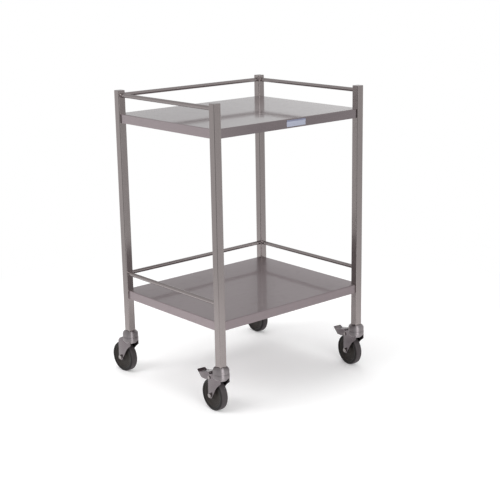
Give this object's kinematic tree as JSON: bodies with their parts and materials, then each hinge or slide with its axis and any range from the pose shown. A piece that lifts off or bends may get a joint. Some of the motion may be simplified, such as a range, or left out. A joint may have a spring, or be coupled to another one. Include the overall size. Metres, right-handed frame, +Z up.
{
  "type": "instrument trolley",
  "caption": "Stainless steel trolley with folded sheet shelves between square posts, round guard rails on the sides and back, open front, swivel castors and toe brakes at the front.",
  "frame": {"origin": "on the floor, under the centre of the outline of the whole trolley with its wheels trailing to the back; the posts' middle is 28.5 mm nearer the front", "axes": "+X along the long side, from left to right as seen from the open front; +Y from the open front to the back rail; +Z up"},
  "size_m": [0.6317, 0.5733, 0.927],
  "materials": {
    "stainless_tube": "satin ground stainless steel tube",
    "stainless_cap": "satin stainless steel",
    "stainless_sheet": "fine satin stainless steel sheet, glossy enough to mirror the posts",
    "stainless_rail": "polished stainless steel tube",
    "plated_steel": "bright zinc or nickel plate on pressed steel",
    "bearing_steel": "polished bearing steel",
    "fastener_steel": "bright zinc plate",
    "wheel_plastic": "moulded dark grey nylon",
    "tyre_rubber": "smooth black rubber",
    "shoe_rubber": "hard black rubber block",
    "socket_plastic": "moulded black plug inside the tube"
  },
  "bodies": {
    "trolley_frame": {"post_front_left": "stainless_tube", "post_front_right": "stainless_tube", "post_back_left": "stainless_tube", "post_back_right": "stainless_tube", "post_caps": "stainless_cap", "castor_sockets": "socket_plastic", "top_shelf": "stainless_sheet", "top_shelf_channel": "stainless_sheet", "lower_shelf": "stainless_sheet", "lower_shelf_channel": "stainless_sheet", "top_rail_back": "stainless_rail", "top_rail_left": "stainless_rail", "top_rail_right": "stainless_rail", "lower_rail_back": "stainless_rail", "lower_rail_left": "stainless_rail", "lower_rail_right": "stainless_rail", "castor_stem_front_left": "plated_steel", "castor_head_front_left": "plated_steel", "castor_bearing_front_left": "bearing_steel", "castor_stem_front_right": "plated_steel", "castor_head_front_right": "plated_steel", "castor_bearing_front_right": "bearing_steel", "castor_stem_back_left": "plated_steel", "castor_head_back_left": "plated_steel", "castor_bearing_back_left": "bearing_steel", "castor_stem_back_right": "plated_steel", "castor_head_back_right": "plated_steel", "castor_bearing_back_right": "bearing_steel"},
    "fork_front_left": {"castor_fork_front_left": "plated_steel", "axle_bolt_front_left": "fastener_steel", "axle_nut_front_left": "fastener_steel", "axle_sleeve_front_left": "fastener_steel", "brake_pin_front_left": "fastener_steel"},
    "wheel_front_left": {"wheel_centre_front_left": "wheel_plastic", "tyre_front_left": "tyre_rubber"},
    "pedal_front_left": {"brake_pedal_front_left": "plated_steel", "brake_shoe_front_left": "shoe_rubber"},
    "fork_front_right": {"castor_fork_front_right": "plated_steel", "axle_bolt_front_right": "fastener_steel", "axle_nut_front_right": "fastener_steel", "axle_sleeve_front_right": "fastener_steel", "brake_pin_front_right": "fastener_steel"},
    "wheel_front_right": {"wheel_centre_front_right": "wheel_plastic", "tyre_front_right": "tyre_rubber"},
    "pedal_front_right": {"brake_pedal_front_right": "plated_steel", "brake_shoe_front_right": "shoe_rubber"},
    "fork_back_left": {"castor_fork_back_left": "plated_steel", "axle_bolt_back_left": "fastener_steel", "axle_nut_back_left": "fastener_steel", "axle_sleeve_back_left": "fastener_steel"},
    "wheel_back_left": {"wheel_centre_back_left": "wheel_plastic", "tyre_back_left": "tyre_rubber"},
    "fork_back_right": {"castor_fork_back_right": "plated_steel", "axle_bolt_back_right": "fastener_steel", "axle_nut_back_right": "fastener_steel", "axle_sleeve_back_right": "fastener_steel"},
    "wheel_back_right": {"wheel_centre_back_right": "wheel_plastic", "tyre_back_right": "tyre_rubber"}
  },
  "joints": [
    {"name": "swivel_front_left", "type": "hinge", "parent": "trolley_frame", "child": "fork_front_left", "pos_m": [-0.2875, -0.261, 0.125], "axis": [0, 0, 1], "continuous": true},
    {"name": "wheel_spin_front_left", "type": "hinge", "parent": "fork_front_left", "child": "wheel_front_left", "pos_m": [-0.28637, -0.22852, 0.05], "axis": [0.9994, -0.0349, 0], "continuous": true},
    {"name": "brake_front_left", "type": "hinge", "parent": "fork_front_left", "child": "pedal_front_left", "pos_m": [-0.28624, -0.22502, 0.106], "axis": [-0.9994, 0.0349, 0], "range_deg": [0, 12]},
    {"name": "swivel_front_right", "type": "hinge", "parent": "trolley_frame", "child": "fork_front_right", "pos_m": [0.2875, -0.261, 0.125], "axis": [0, 0, 1], "continuous": true},
    {"name": "wheel_spin_front_right", "type": "hinge", "parent": "fork_front_right", "child": "wheel_front_right", "pos_m": [0.29146, -0.22874, 0.05], "axis": [0.9925, -0.1219, 0], "continuous": true},
    {"name": "brake_front_right", "type": "hinge", "parent": "fork_front_right", "child": "pedal_front_right", "pos_m": [0.29189, -0.22527, 0.106], "axis": [-0.9925, 0.1219, 0], "range_deg": [0, 12]},
    {"name": "swivel_back_left", "type": "hinge", "parent": "trolley_frame", "child": "fork_back_left", "pos_m": [-0.2875, 0.204, 0.125], "axis": [0, 0, 1], "continuous": true},
    {"name": "wheel_spin_back_left", "type": "hinge", "parent": "fork_back_left", "child": "wheel_back_left", "pos_m": [-0.28977, 0.23642, 0.05], "axis": [0.9976, 0.0698, 0], "continuous": true},
    {"name": "swivel_back_right", "type": "hinge", "parent": "trolley_frame", "child": "fork_back_right", "pos_m": [0.2875, 0.204, 0.125], "axis": [0, 0, 1], "continuous": true},
    {"name": "wheel_spin_back_right", "type": "hinge", "parent": "fork_back_right", "child": "wheel_back_right", "pos_m": [0.28863, 0.23648, 0.05], "axis": [0.9994, -0.0349, 0], "continuous": true}
  ]
}
